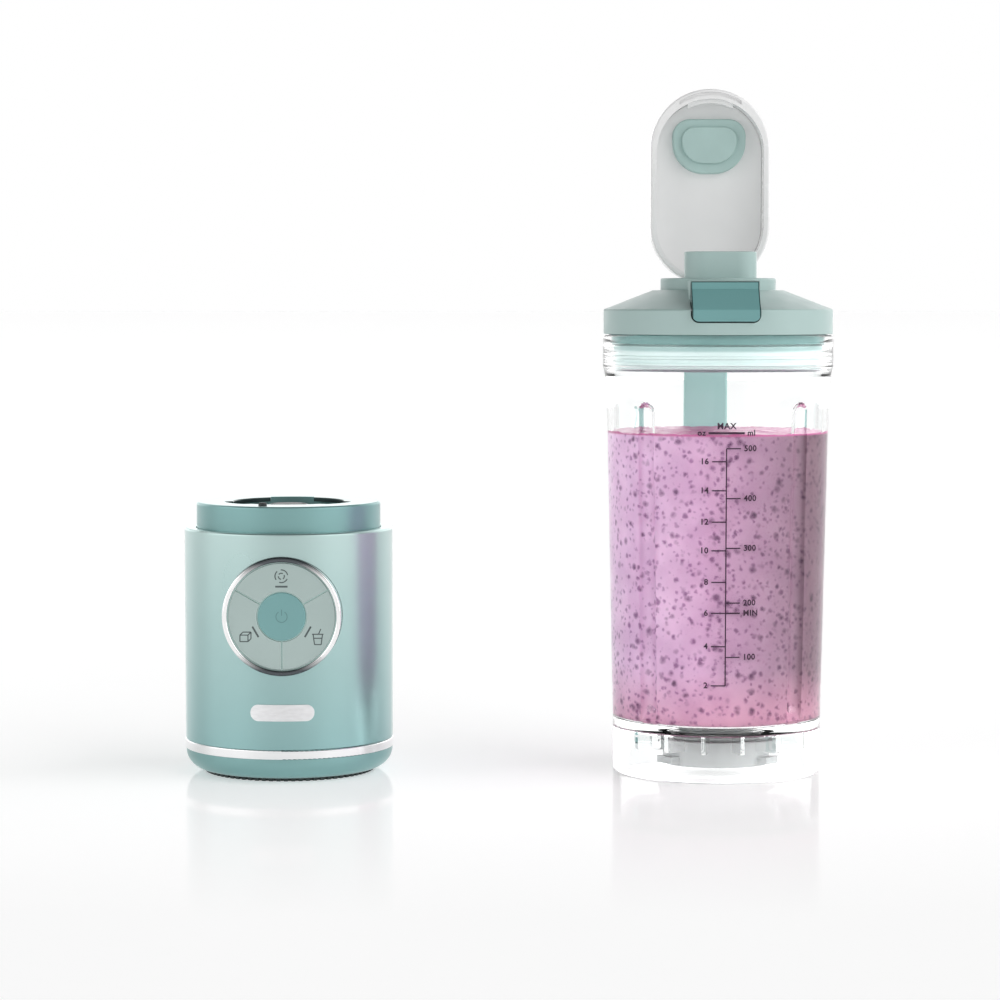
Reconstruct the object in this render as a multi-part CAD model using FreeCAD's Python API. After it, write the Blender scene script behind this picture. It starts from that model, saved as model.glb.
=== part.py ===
import FreeCAD, Part
import math
import os

from FreeCAD import Vector

# A cordless personal blender in two halves, in millimetres. The motor base stands on the origin, +Z is up,
# -Y is the front with the key pad, and the cup stands beside the base towards +X with its flap open.

# Driving dimensions
CUP_X = 165.3          # the cup's axis
BODY_R = 40.0          # motor base
SHOULDER_Z = 94.2      # the shoulder that the cup's skirt rests on
COLLAR_R = 35.4
COLLAR_TOP = 104.0
BAND_LOW, BAND_HIGH = 9.3, 12.8
DIAL_Z = 63.3          # centre of the key pad
DIAL_R = 22.3          # outside of its bezel
DIAL_FACE = 40.6       # front of the keys, from the base's axis
KEY_R = 20.05
BUTTON_R = 9.0
KEY_BACK = 39.0
RIM_Z = 168.0          # the cup's rim
RIM_R = 44.2
MOUTH_R = 41.6
SKIRT_R = 39.9         # the cup's skirt at its foot
SKIRT_BORE = 37.3
FLOOR_Z = 20.5         # the cup's floor
LID_R = 43.9
SKIRT_TOP = 177.7      # the lid's straight side ends here and its cone begins
PLATFORM_R = 22.1
PLATFORM_Z = 189.6
SPOUT_TOP = 199.6
SPOUT_FRONT, SPOUT_BACK = -19.8, -1.0
HINGE_Y, HINGE_Z = 42.8, 189.9
FLAP_W = 47.5
FLAP_LOW, FLAP_HIGH = 187.2, 265.0
FLAP_FRONT, FLAP_BACK = 45.2, 60.6
FLAP_RIM, FLAP_LIP = 2.4, 3.9
FLAP_SEAL_Z = 242.9
HANDLE_W = 18.4
HANDLE_BACK = 73.8     # the handle's outer face, behind the cup's axis
PIVOT_Y, PIVOT_Z = -38.9, 177.6
LATCH_W = 25.3
SHAFT_R = 1.6          # motor shaft
BLADE_SHAFT_R = 2.0
FIT = 0.05             # radial clearance of a shaft in its bearing

Z_AXIS = Vector(0, 0, 1)
nodes = {}


def outline(points, place):
    """A closed face from (u, v) or (u, v, corner radius) points."""
    edges, joints = [], []
    count = len(points)
    for i, point in enumerate(points):
        here = Vector(point[0], point[1], 0)
        before = Vector(*points[i - 1][:2], 0) - here
        after = Vector(*points[(i + 1) % count][:2], 0) - here
        radius = point[2] if len(point) > 2 else 0
        if not radius:
            joints.append((here, None, here))
            continue
        before.normalize()
        after.normalize()
        half = before.getAngle(after) / 2
        middle = before + after
        middle.normalize()
        back = radius / math.tan(half)
        bulge = radius / math.sin(half) - radius
        joints.append((here + before * back, here + middle * bulge, here + after * back))
    for i, (start, mid, end) in enumerate(joints):
        if mid:
            edges.append(Part.Arc(place(start), place(mid), place(end)).toShape())
        following = joints[(i + 1) % count][0]
        if end.distanceToPoint(following) > 1e-6:
            edges.append(Part.LineSegment(place(end), place(following)).toShape())
    return Part.Face(Part.Wire(Part.__sortEdges__(edges)))


def lathe(points):
    """A solid turned about Z from (radius, height) points."""
    return outline(points, lambda p: Vector(p.x, 0, p.y)).revolve(Vector(), Z_AXIS, 360)


def prism_x(points, x0, x1):
    return outline(points, lambda p: Vector(x0, p.x, p.y)).extrude(Vector(x1 - x0, 0, 0))


def prism_y(points, y0, y1):
    return outline(points, lambda p: Vector(p.x, y0, p.y)).extrude(Vector(0, y1 - y0, 0))


def prism_z(points, z0, z1):
    return outline(points, lambda p: Vector(p.x, p.y, z0)).extrude(Vector(0, 0, z1 - z0))


def disc(r, z0, z1, x=0.0, y=0.0):
    return Part.makeCylinder(r, z1 - z0, Vector(x, y, z0))


def tube(r_out, r_in, z0, z1, x=0.0, y=0.0):
    return disc(r_out, z0, z1, x, y).cut(disc(r_in, z0 - 1, z1 + 1, x, y))


def rod_x(r, x0, x1, y, z):
    return Part.makeCylinder(r, x1 - x0, Vector(x0, y, z), Vector(1, 0, 0))


def block(x0, x1, y0, y1, z0, z1):
    return Part.makeBox(x1 - x0, y1 - y0, z1 - z0, Vector(x0, y0, z0))


def turned(shape, degrees):
    """A copy turned about Z."""
    copy = shape.copy()
    copy.rotate(Vector(), Z_AXIS, degrees)
    return copy


def around(shape, angles):
    return [turned(shape, angle) for angle in angles]


def front(shape):
    """Stands a shape up: what was modelled along +Z now points to the front, at the key pad."""
    copy = shape.copy()
    copy.rotate(Vector(), Vector(1, 0, 0), 90)
    copy.translate(Vector(0, 0, DIAL_Z))
    return copy


def polar(r, degrees):
    return r * math.cos(math.radians(degrees)), r * math.sin(math.radians(degrees))


def round_edges(shape, radius, chosen):
    return shape.makeFillet(radius, [edge for edge in shape.Edges if chosen(edge)])


def add(name, shape):
    nodes[name] = shape


def add_cup(name, shape):
    moved = shape.copy()
    moved.translate(Vector(CUP_X, 0, 0))
    nodes[name] = moved


def group(shapes):
    return Part.makeCompound(shapes)


# ---------------------------------------------------------------- base: housing

SCREW_RING, SCREW_ANGLES = 20.0, (30, 150, 270)
FOOT_Z = 1.2
PORT_Z = 17.9


def outer_sleeve():
    wall = 2.2
    shell = lathe([(BODY_R - wall, BAND_HIGH), (BODY_R, BAND_HIGH, 0.3), (BODY_R, SHOULDER_Z, 0.9),
                   (COLLAR_R + 0.3, SHOULDER_Z, 0.2), (COLLAR_R + 0.3, SHOULDER_Z - wall),
                   (BODY_R - wall, SHOULDER_Z - wall, 1.0)])
    dial_hole = front(disc(DIAL_R + 0.1, 25, 45))
    port_hole = prism_y([(-6.3, PORT_Z - 3.6, 3.5), (6.3, PORT_Z - 3.6, 3.5), (6.3, PORT_Z + 3.6, 3.5),
                         (-6.3, PORT_Z + 3.6, 3.5)], 30, 45)
    return shell.cut(dial_hole).cut(port_hole)


def locking_collar():
    """The ring that the cup twists on to, with the well that the blade housing drops into."""
    well, lip = 24.8, 21.3
    body = lathe([(7.4, 93), (7.4, 95.5), (well, 95.5), (well, 102.4), (lip, 102.4), (lip, COLLAR_TOP, 0.4),
                  (COLLAR_R, COLLAR_TOP, 0.9), (COLLAR_R, SHOULDER_Z), (34.4, SHOULDER_Z), (34.4, 91.9),
                  (37.2, 91.9), (37.2, 90.6), (33.2, 90.6), (33.2, 101.6), (well + 2, 101.6),
                  (well + 2, 93)])
    notch = prism_z([(lip - 3, -8.5), (well, -8.5, 1.5), (well, 8.5, 1.5), (lip - 3, 8.5)], 102, 105)
    notches = around(notch.common(disc(well, 102, 105)), (90, 210, 330))
    plunger_hole = disc(1.65, 100, 105, *polar(30, 255))
    return body.cut(group(notches)).cut(plunger_hole)


def foot_cap():
    body = lathe([(0, FOOT_Z), (BODY_R - 0.1, FOOT_Z, 7.4), (BODY_R - 0.1, BAND_LOW), (37.6, BAND_LOW),
                  (37.6, 3.4, 5.4), (0, 3.4)])
    holes = []
    for angle in SCREW_ANGLES:
        x, y = polar(SCREW_RING, angle)
        holes += [disc(1.6, 0, 5, x, y), disc(3.1, 0, 2.6, x, y)]
    return body.cut(group(holes))


def foot_pad():
    """A rubber pad with a toothed edge, which leaves a row of small dark slots along the floor."""
    teeth, outer, inner = 72, 32.6, 31.4
    points = []
    for i in range(teeth):
        step = 360 / teeth
        for r, part in ((outer, 0.0), (outer, 0.5), (inner, 0.55), (inner, 0.95)):
            points.append(polar(r, (i + part) * step))
    grooves = [tube(27.5, 26.0, -1, 0.4), tube(16.5, 15.0, -1, 0.4)]
    return prism_z(points, 0, FOOT_Z).cut(group(grooves))


def base_screws():
    screws = []
    for angle in SCREW_ANGLES:
        x, y = polar(SCREW_RING, angle)
        head = disc(2.9, 1.5, 2.6, x, y)
        slot = block(x - 1.6, x + 1.6, y - 0.4, y + 0.4, 1, 2.1)
        cross = slot.fuse(block(x - 0.4, x + 0.4, y - 1.6, y + 1.6, 1, 2.1))
        screws.append(head.fuse(disc(1.4, 2.6, 14, x, y)).cut(cross))
    return group(screws)


def badge():
    """A plain bright pill, standing 0.5 mm off the sleeve."""
    pill = prism_y([(-12, 23.9, 3.0), (12, 23.9, 3.0), (12, 30.1, 3.0), (-12, 30.1, 3.0)], -45, -30)
    return pill.common(tube(BODY_R + 0.5, BODY_R, 20, 34))


def battery_cradle():
    """A plate on three screw posts, with a cup round each cell."""
    plate = disc(37.0, 20.4, 22.5).cut(disc(9, 20, 23))
    posts = []
    bores = []
    for angle in SCREW_ANGLES:
        x, y = polar(SCREW_RING, angle)
        posts.append(disc(3.2, 3.4, 20.4, x, y))
        bores.append(disc(1.4, 3, 16, x, y))
    cups = [tube(10.2, 9.3, 22.5, 34, *polar(28, angle)) for angle in CELL_ANGLES]
    space = disc(37.4, 3, 40).cut(disc(18.4, 22.5, 40))
    cups = [cup.common(space) for cup in cups]
    body = plate.fuse(posts + cups)
    for angle in CELL_ANGLES:
        body = body.cut(disc(9.3, 22.5, 40, *polar(28, angle)))
    return body.cut(group(bores))


CELL_ANGLES = (45, 90, 135)


def battery_cells():
    cells = []
    for angle in CELL_ANGLES:
        x, y = polar(28, angle)
        cell = round_edges(disc(9.15, 22.5, 86.8, x, y), 0.6, lambda edge: edge.BoundBox.ZLength < 0.01)
        cells.append(cell.fuse(disc(3, 86.5, 87.5, x, y)))
    return group(cells)


def main_board():
    board = disc(35.5, 14.6, 16.2)
    for angle in SCREW_ANGLES:
        board = board.cut(disc(3.5, 14, 17, *polar(SCREW_RING, angle)))
    chips = [block(-5, 3, -12, -4, 16.2, 17.6), block(-26, -18, -5, 3, 16.2, 18.4),
             block(20, 25, -4, 4, 16.2, 19.2), disc(3.2, 16.2, 19.8, 9, -22)]
    return board.fuse(chips)


def charge_port():
    z0, z1 = PORT_Z - 1.65, PORT_Z + 1.65
    shell = prism_y([(-4.5, z0, 1.6), (4.5, z0, 1.6), (4.5, z1, 1.6), (-4.5, z1, 1.6)], 31.2, 38.9)
    hollow = prism_y([(-4.2, z0 + 0.3, 1.3), (4.2, z0 + 0.3, 1.3), (4.2, z1 - 0.3, 1.3),
                      (-4.2, z1 - 0.3, 1.3)], 32.2, 40)
    return shell.cut(hollow).fuse(block(-3.2, 3.2, 31.8, 38.0, PORT_Z - 0.35, PORT_Z + 0.35))


def port_gasket():
    outer = prism_y([(-6.3, PORT_Z - 3.6, 3.5), (6.3, PORT_Z - 3.6, 3.5), (6.3, PORT_Z + 3.6, 3.5),
                     (-6.3, PORT_Z + 3.6, 3.5)], 37.3, 45)
    hole = prism_y([(-4.5, PORT_Z - 1.65, 1.6), (4.5, PORT_Z - 1.65, 1.6), (4.5, PORT_Z + 1.65, 1.6),
                    (-4.5, PORT_Z + 1.65, 1.6)], 30, 46)
    return outer.common(disc(BODY_R + 0.2, 10, 30)).cut(hole)


def interlock_plunger():
    """The pin that the docked cup presses down to release the motor."""
    x, y = polar(30, 255)
    pin = round_edges(disc(1.6, 95, COLLAR_TOP + 1.2, x, y), 0.6, lambda edge: edge.BoundBox.ZMin > 105)
    return pin.fuse(disc(2.8, 100, 101.2, x, y))


def housing():
    add("outer_sleeve", outer_sleeve())
    add("locking_collar", locking_collar())
    add("chrome_band", lathe([(37.6, BAND_LOW), (BODY_R + 0.25, BAND_LOW, 0.4),
                              (BODY_R + 0.25, BAND_HIGH, 0.4), (37.6, BAND_HIGH)]))
    add("foot_cap", foot_cap())
    add("foot_pad", foot_pad())
    add("base_screws", base_screws())
    add("badge", badge())
    add("battery_cradle", battery_cradle())
    add("battery_cells", battery_cells())
    add("main_board", main_board())
    add("charge_port", charge_port())
    add("port_gasket", port_gasket())
    add("motor_mount", disc(37.4, 88, 90.6).cut(disc(6.2, 87, 92)))
    add("interlock_plunger", interlock_plunger())


# ---------------------------------------------------------------- base: motor

def motor_can():
    return lathe([(16.8, 36), (18, 36), (18, 86, 1.2), (6.2, 86), (6.2, 90.2), (2.4, 90.2), (2.4, 89),
                  (4.95, 89), (4.95, 84.4), (16.8, 84.4)])


def motor_magnets():
    arc = tube(16.8, 12.6, 42, 80)
    gap = block(-6, 6, -20, 20, 40, 82)
    return arc.cut(gap)


def end_bell():
    body = lathe([(2.4, 32.2), (18, 32.2, 1.0), (18, 36), (4.95, 36), (4.95, 33), (2.4, 33)])
    boxes = [block(-13, -8.6, -3, 3, 36, 41), block(8.6, 13, -3, 3, 36, 41)]
    return body.fuse(boxes)


def rotor_core():
    """Five poles of stacked steel, with wide shoes facing the magnets."""
    arms = around(block(0, 11.2, -1.6, 1.6, 44, 78), [72 * i for i in range(5)])
    ring = tube(11.9, 10.7, 44, 78)
    slots = around(block(9, 14, -1.2, 1.2, 43, 79), [72 * i + 36 for i in range(5)])
    return disc(4.4, 44, 78).fuse(arms + [ring]).cut(group(slots)).cut(disc(SHAFT_R, 43, 79))


def rotor_winding(core):
    return tube(10.4, 5.0, 41.5, 80.5).cut(core).cut(tube(12, 10.3, 44, 78))


def drive_coupling():
    """The six-lobed driver on top of the motor shaft."""
    points = []
    for i in range(6):
        points += [(*polar(8.3, 60 * i - 10), 0.8), (*polar(8.3, 60 * i + 10), 0.8),
                   (*polar(6.2, 60 * i + 20), 0.6), (*polar(6.2, 60 * i + 40), 0.6)]
    lobes = prism_z(points, 98.4, 103)
    cone = lathe([(0, 98), (8.5, 98), (8.5, 102.2), (6.6, 103), (0, 103)])
    return lobes.common(cone).fuse(disc(8.6, 96.4, 98.4)).cut(disc(SHAFT_R, 95, 101.5))


def motor():
    core = rotor_core()
    add("motor_can", motor_can())
    add("motor_magnets", motor_magnets())
    add("motor_end_bell", end_bell())
    add("brushes", group([block(-8.6, -4.3, -1.8, 1.8, 38, 41), block(4.3, 8.6, -1.8, 1.8, 38, 41)]))
    add("motor_bearings", group([tube(4.95, SHAFT_R + FIT, 33, 36), tube(4.95, SHAFT_R + FIT, 86, 89)]))
    add("shaft_seal", tube(7.4, SHAFT_R + FIT, 93, 95.5))
    add("motor_shaft", disc(SHAFT_R, 31.4, 101.5))
    add("rotor_core", core)
    add("rotor_winding", rotor_winding(core))
    add("commutator", tube(4.0, SHAFT_R, 37.4, 41.5))
    add("drive_coupling", drive_coupling())


# ---------------------------------------------------------------- base: key pad

KEY_ANGLES = {"blend": 90, "smoothie": -30, "crush": 210}
STEM_RING, LIGHT_RING = 14.5, 11.3


def key(angle):
    """One third of the ring of keys, with a stem behind it and a slot for its light bar."""
    ring = tube(KEY_R, BUTTON_R + 0.35, KEY_BACK, DIAL_FACE)
    gaps = around(block(0, KEY_R + 1, -0.2, 0.2, KEY_BACK - 1, DIAL_FACE + 1), (30, 150, 270))
    third = [part for part in ring.cut(group(gaps)).Solids
             if part.CenterOfMass.dot(Vector(*polar(1, angle), 0)) > 5][0]
    third = round_edges(third, 0.3, lambda edge: edge.BoundBox.ZMin > DIAL_FACE - 0.01)
    stem = disc(1.6, 35.9, KEY_BACK, *polar(STEM_RING, angle))
    return third.fuse(stem).cut(light_bar(angle))


def light_bar(angle):
    bar = block(LIGHT_RING - 0.35, LIGHT_RING + 0.35, -2.3, 2.3, 39.7, DIAL_FACE)
    return turned(bar, angle)


def power_button():
    body = disc(BUTTON_R, KEY_BACK, DIAL_FACE).fuse(disc(1.8, 35.9, KEY_BACK))
    return round_edges(body, 0.3, lambda edge: edge.BoundBox.ZMin > DIAL_FACE - 0.01)


def dial_carrier():
    body = disc(20.4, 36.2, 37.6).cut(disc(2.2, 36, 38))
    return body.cut(group([disc(2.1, 36, 38, *polar(STEM_RING, angle)) for angle in KEY_ANGLES.values()]))


def key_mat():
    domes = [disc(3, 33.8, 35.2, *polar(STEM_RING, angle)) for angle in KEY_ANGLES.values()]
    return disc(19.5, 33.2, 33.8).fuse(domes + [disc(3, 33.8, 35.2)])


def key_pad():
    bezel = lathe([(20.4, 31.8), (DIAL_R, 31.8), (DIAL_R, 41.4, 0.8), (20.4, 41.4, 0.7)])
    add("dial_bezel", front(bezel))
    add("dial_carrier", front(dial_carrier()))
    add("key_mat", front(key_mat()))
    add("control_board", front(disc(19.5, 31.6, 33.2)))
    add("power_button", front(power_button()))
    for name, angle in KEY_ANGLES.items():
        add(name + "_key", front(key(angle)))
        add(name + "_light", front(light_bar(angle)))


# ---------------------------------------------------------------- cup

def cup_profile():
    """The cup's wall, from its foot up the outside and down the inside."""
    return [(SKIRT_BORE, 0), (SKIRT_R, 0, 0.8), (40.3, 20), (42.6, 140), (43.3, 152, 3), (RIM_R, 156, 2),
            (RIM_R, RIM_Z, 0.6), (MOUTH_R, RIM_Z, 0.6), (MOUTH_R, 154), (40.7, 152.5, 1),
            (38.0, FLOOR_Z, 6), (14.7, FLOOR_Z), (14.7, 17.8), (SKIRT_BORE, 17.8, 1)]


def cup_body():
    wall = lathe(cup_profile())
    envelope = lathe([(0, 10), (40.1, 10), (42.4, 140), (42.4, 146), (0, 146)])
    rib = disc(3.4, 19, 140, 41.0).fuse(Part.makeSphere(3.4, Vector(41.0, 0, 140)))
    ribs = around(rib.common(envelope), (45, 135, 225, 315))
    fin = block(25, SKIRT_BORE + 0.5, -0.8, 0.8, 10.6, 18.2)
    fins = around(fin, [22.5 * i + 11.25 for i in range(16)])
    return wall.fuse(ribs + fins)


def blade_base():
    bore = BLADE_SHAFT_R + 0.3
    return lathe([(bore, 14), (14.4, 14), (14.4, 21.3), (18.5, 21.3), (18.5, 24.2, 1.5), (9, 24.6, 2),
                  (7, 31, 1), (5, 31), (5, 25.4), (bore, 25.4), (bore, 18.2), (5, 18.2), (5, 15.2),
                  (bore, 15.2)])


def locking_foot():
    """The grey housing under the cup, with three lugs that lock under the collar's lip."""
    body = lathe([(13.4, 4), (20.4, 4, 0.8), (20.4, 13.9, 0.6), (3.4, 13.9), (3.4, 12.2), (13.4, 12.2)])
    lug = block(18, 25, -5, 5, 5.0, 7.6).common(disc(24.2, 5.0, 7.6))
    return body.fuse(around(lug, (90, 210, 330)))


def blade(angle, wing_angle, z, reach):
    """A two-winged blade, its wings bent up or down from a flat hub."""
    thick, bend = 1.2, 6.0
    wing = prism_z([(bend - 1, -4.5), (reach, -2.0, 1.5), (reach, 2.6, 1.5), (bend - 1, 4.5)], 0, thick)
    wing.rotate(Vector(bend - 1, 0, 0), Vector(0, 1, 0), -wing_angle)
    hub = disc(bend, 0, thick)
    body = hub.fuse([wing, turned(wing, 180)]).cut(disc(BLADE_SHAFT_R, -5, 8))
    body.translate(Vector(0, 0, z))
    return turned(body, angle)


def driven_coupling():
    socket = []
    for i in range(6):
        socket += [(*polar(9.0, 60 * i - 14), 0.8), (*polar(9.0, 60 * i + 14), 0.8),
                   (*polar(7.0, 60 * i + 22), 0.6), (*polar(7.0, 60 * i + 38), 0.6)]
    body = lathe([(0, 4.4), (12.6, 4.4, 0.5), (12.6, 11.6, 0.5), (0, 11.6)])
    return body.cut(prism_z(socket, 4, 9.6)).cut(disc(BLADE_SHAFT_R, 9, 12))


def cup():
    blade_z, thick = 31.8, 1.2
    add_cup("cup_body", cup_body())
    add_cup("blade_base", blade_base())
    add_cup("floor_gasket", tube(18.2, 14.4, FLOOR_Z, 21.3))
    add_cup("retaining_nut", lathe([(14.4, 14), (18.0, 14, 0.5), (18.0, 17.7, 0.5), (14.4, 17.7)]))
    add_cup("locking_foot", locking_foot())
    add_cup("blade_bearings", group([tube(5, BLADE_SHAFT_R + FIT, 15.2, 18.2),
                                     tube(5, BLADE_SHAFT_R + FIT, 25.4, 28.4)]))
    add_cup("blade_seal", tube(5, BLADE_SHAFT_R + FIT, 28.4, 31))
    add_cup("blade_shaft", disc(BLADE_SHAFT_R, 9.6, 38))
    add_cup("lower_blade", blade(90, -12, blade_z, 21))
    add_cup("upper_blade", blade(0, 32, blade_z + thick, 19))
    add_cup("blade_nut", lathe([(BLADE_SHAFT_R, 34.2), (4.2, 34.2), (4.2, 38, 1.0), (2.6, 40, 1), (0, 40),
                                (0, 38), (BLADE_SHAFT_R, 38)]))
    add_cup("driven_coupling", driven_coupling())


# ---------------------------------------------------------------- lid

def spout_outline(inset, z0, z1):
    """The spout's section: a wide front with round corners and a round back."""
    half = 13.7 - inset
    lead, tail = SPOUT_FRONT + inset, SPOUT_BACK - inset
    return prism_z([(-half, lead, 7.5 - inset), (half, lead, 7.5 - inset), (half, tail, 10.5 - inset),
                    (-half, tail, 10.5 - inset)], z0, z1)


def latch_gap():
    """The space that the latch button sits and rocks in."""
    half = LATCH_W / 2 + 0.4
    space = prism_x([(-35.2, 189), (-35.2, 183), (-34.0, 182.0), (-34.0, 172), (-47, 172), (-47, 189)],
                    -half, half)
    face = prism_y([(-half, 172.8, 3.0), (half, 172.8, 3.0), (half, 192), (-half, 192)], -50, -30)
    return space.common(face)


def lid_shell():
    wall = 2.2
    ceiling = PLATFORM_Z - wall
    envelope = lathe([(0, RIM_Z + 0.3), (LID_R, RIM_Z + 0.3, 0.3), (LID_R, SKIRT_TOP, 0.8),
                      (25.2, 185.0, 0.5), (PLATFORM_R, 185.0, 0.3), (PLATFORM_R, PLATFORM_Z, 0.7),
                      (0, PLATFORM_Z)])
    hollow = lathe([(0, RIM_Z), (LID_R - wall, RIM_Z), (LID_R - wall, SKIRT_TOP - 1.6), (24.4, 182.8),
                    (PLATFORM_R - 1.6, 182.8), (PLATFORM_R - 1.6, ceiling), (0, ceiling)])
    bridge = prism_x([(-14, 183), (-14, 188.6), (-35.2, 188.6, 0.3), (-35.2, 181)], -LATCH_W / 2 - 0.4,
                     LATCH_W / 2 + 0.4)
    bridge = bridge.cut(disc(PLATFORM_R - 1, 170, ceiling))
    cheek = block(-15.2, -13.2, -41, -35, 175, 181).common(envelope)
    spout = round_edges(spout_outline(0, PLATFORM_Z - 1, SPOUT_TOP), 0.5,
                        lambda edge: edge.BoundBox.ZMin > SPOUT_TOP - 0.1)
    ear = prism_x([(37.8, 178.0), (HINGE_Y - 0.2, 177.3), (HINGE_Y + 0.6, 179),
                   (HINGE_Y + 0.9, HINGE_Z - 1.5), (HINGE_Y - 2, HINGE_Z - 1.5)], 6.9, 10.4)
    ear = ear.fuse(rod_x(2.0, 6.9, 10.4, HINGE_Y, HINGE_Z))
    pairs = [part.mirror(Vector(), Vector(1, 0, 0)) for part in (cheek, ear)]
    body = envelope.cut(hollow).fuse([bridge, cheek, spout, ear] + pairs)
    body = body.cut(spout_outline(1.9, 180, 210))
    body = body.cut(latch_gap()).cut(rod_x(0.8, -14.6, 14.6, PIVOT_Y, PIVOT_Z))
    return body.cut(rod_x(1.0, -10.4, 10.4, HINGE_Y, HINGE_Z))


def lid_liner():
    """The plug that screws into the cup, its top plate and the duct up to the spout."""
    thread = [(40.2, 160.4), (41.0, 160.0), (41.0, 159.4), (40.2, 159.0), (40.2, 157.8), (41.0, 157.4),
              (41.0, 156.8), (40.2, 156.4)]
    plug = lathe([(0, 171.6), (41.4, 171.6), (41.4, 169.4), (39.5, 169.4), (39.5, 164.3), (40.2, 163.9)]
                 + thread + [(40.2, 155.8, 0.5), (37.8, 155.8, 0.5), (37.8, 169.4, 2), (0, 169.4)])
    duct = spout_outline(1.0, 171, PLATFORM_Z - 2.2)
    return plug.fuse(duct).cut(spout_outline(1.9, 160, 200))


def carry_handle():
    """An open handle behind the lid, hanging down beside the cup."""
    thick, top, low = 4.0, 177.2, 95.0
    shape = prism_x([(30, top), (HANDLE_BACK, top, 11), (HANDLE_BACK, low, 7.5), (62.5, low, 1.6),
                     (62.5, low + thick, 1.6), (HANDLE_BACK - thick, low + thick, 3.5),
                     (HANDLE_BACK - thick, top - 4.6, 7), (50, top - 4.6, 5), (47.5, 168.6, 1),
                     (30, 168.6)], -HANDLE_W / 2, HANDLE_W / 2)
    shape = shape.cut(disc(LID_R, 160, 180))
    shape = [part for part in shape.Solids if part.BoundBox.YMax > 50][0]
    return round_edges(shape, 1.0, lambda edge: abs(abs(edge.CenterOfMass.x) - HANDLE_W / 2) < 0.01
                       and edge.BoundBox.YMin > 46)


def latch_button():
    half = LATCH_W / 2
    cover = prism_x([(-36.2, 188.2, 0.5), (-36.6, 185.4), (-37.4, 184.8, 0.4), (-44.6, 177.7, 0.9),
                     (-44.7, 173.3, 0.5), (-42.3, 173.3), (-42.1, 176.6), (-35.6, 183.3), (-35.6, 188.2)],
                    -half, half)
    corners = prism_y([(-half, 170, 2.6), (half, 170, 2.6), (half, 192), (-half, 192)], -50, -30)
    corners.translate(Vector(0, 0, 3.3))
    barrel = rod_x(1.9, -half + 0.3, half - 0.3, PIVOT_Y, PIVOT_Z)
    web = block(-half + 2, half - 2, PIVOT_Y - 1.5, PIVOT_Y + 1.2, PIVOT_Z, PIVOT_Z + 2.2)
    return cover.common(corners).fuse([barrel, web]).cut(rod_x(0.8 + FIT, -15, 15, PIVOT_Y, PIVOT_Z))


def lid():
    add_cup("lid_gasket", tube(41.3, 39.8, 164.7, 169.1))
    add_cup("lid_shell", lid_shell())
    add_cup("lid_liner", lid_liner())
    add_cup("carry_handle", carry_handle())
    add_cup("latch_pin", rod_x(0.8, -14.6, 14.6, PIVOT_Y, PIVOT_Z))
    add_cup("latch_spring", prism_x([(-33, 171.6), (-39.5, 171.6), (-41.4, 174.4), (-41.1, 174.7),
                                     (-39.2, 172.1), (-33, 172.1)], -4, 4))
    add_cup("latch_button", latch_button())
    add_cup("flap_pin", rod_x(1.0, -10.4, 10.4, HINGE_Y, HINGE_Z))


# ---------------------------------------------------------------- flap

def stadium(inset, y0, y1):
    half = FLAP_W / 2 - inset
    low, high = FLAP_LOW + inset, FLAP_HIGH - inset
    radius = half - 0.01
    return prism_y([(-half, low, radius), (half, low, radius), (half, high, radius),
                    (-half, high, radius)], y0, y1)


def tray_space(inset, y0, y1):
    """The hollow of the flap. Its rim is wider at the free end, where a finger lifts it."""
    side, end = FLAP_RIM + inset, FLAP_LIP + inset
    half = FLAP_W / 2 - side
    return prism_y([(-half, FLAP_LOW + side, half - 0.01), (half, FLAP_LOW + side, half - 0.01),
                    (half, FLAP_HIGH - end, half - 0.01), (-half, FLAP_HIGH - end, half - 0.01)], y0, y1)


def finger_groove():
    """A shallow groove along the rim's free end."""
    depth, reach = 1.3, 12.3
    band = stadium(1.15, FLAP_FRONT - 1, FLAP_FRONT + depth)
    band = band.cut(tray_space(-1.3, FLAP_FRONT - 2, FLAP_FRONT + 5))
    return band.common(block(-reach, reach, FLAP_FRONT - 2, FLAP_FRONT + 5, FLAP_HIGH - 14, FLAP_HIGH))


def flap_shell():
    outer = stadium(0, FLAP_FRONT, FLAP_BACK)
    outer = round_edges(outer, 3.0, lambda edge: edge.BoundBox.YMin > FLAP_BACK - 0.1)
    outer = round_edges(outer, 1.0, lambda edge: edge.BoundBox.YMax < FLAP_FRONT + 0.1)
    tray = outer.cut(tray_space(0, FLAP_FRONT - 1, FLAP_BACK - 2.2)).cut(finger_groove())
    knuckle = rod_x(2.2, -6.5, 6.5, HINGE_Y, HINGE_Z).fuse(
        block(-6.5, 6.5, HINGE_Y, FLAP_FRONT + 1.2, HINGE_Z - 2.0, HINGE_Z + 1.6))
    catch = tray_space(0, 47.6, 49.2).cut(tray_space(1.6, 46, 50)).common(block(-9, 9, 40, 60, 255, 270))
    return tray.fuse([knuckle, catch]).cut(rod_x(1.0 + FIT, -12, 12, HINGE_Y, HINGE_Z))


def seal_outline(inset, y0, y1):
    """The seal's outline: wide at its outer end, round and narrower towards the hinge."""
    half, up, down = 14.8 - inset, FLAP_SEAL_Z + 10.6 - inset, FLAP_SEAL_Z - 11.2 + inset
    return prism_y([(-half, up, 7.0 - inset / 2), (half, up, 7.0 - inset / 2),
                    (half - 0.5, down, 12.4 - inset), (-half + 0.5, down, 12.4 - inset)], y0, y1)


def flap_seal():
    rim = round_edges(seal_outline(0, 52.8, 57.0), 0.8, lambda edge: edge.BoundBox.YMax < 52.9)
    plug = seal_outline(3.6, 51.2, 53.0)
    plug.translate(Vector(0, 0, 0.4))
    return rim.fuse(round_edges(plug, 0.6, lambda edge: edge.BoundBox.YMax < 51.3))


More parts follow.
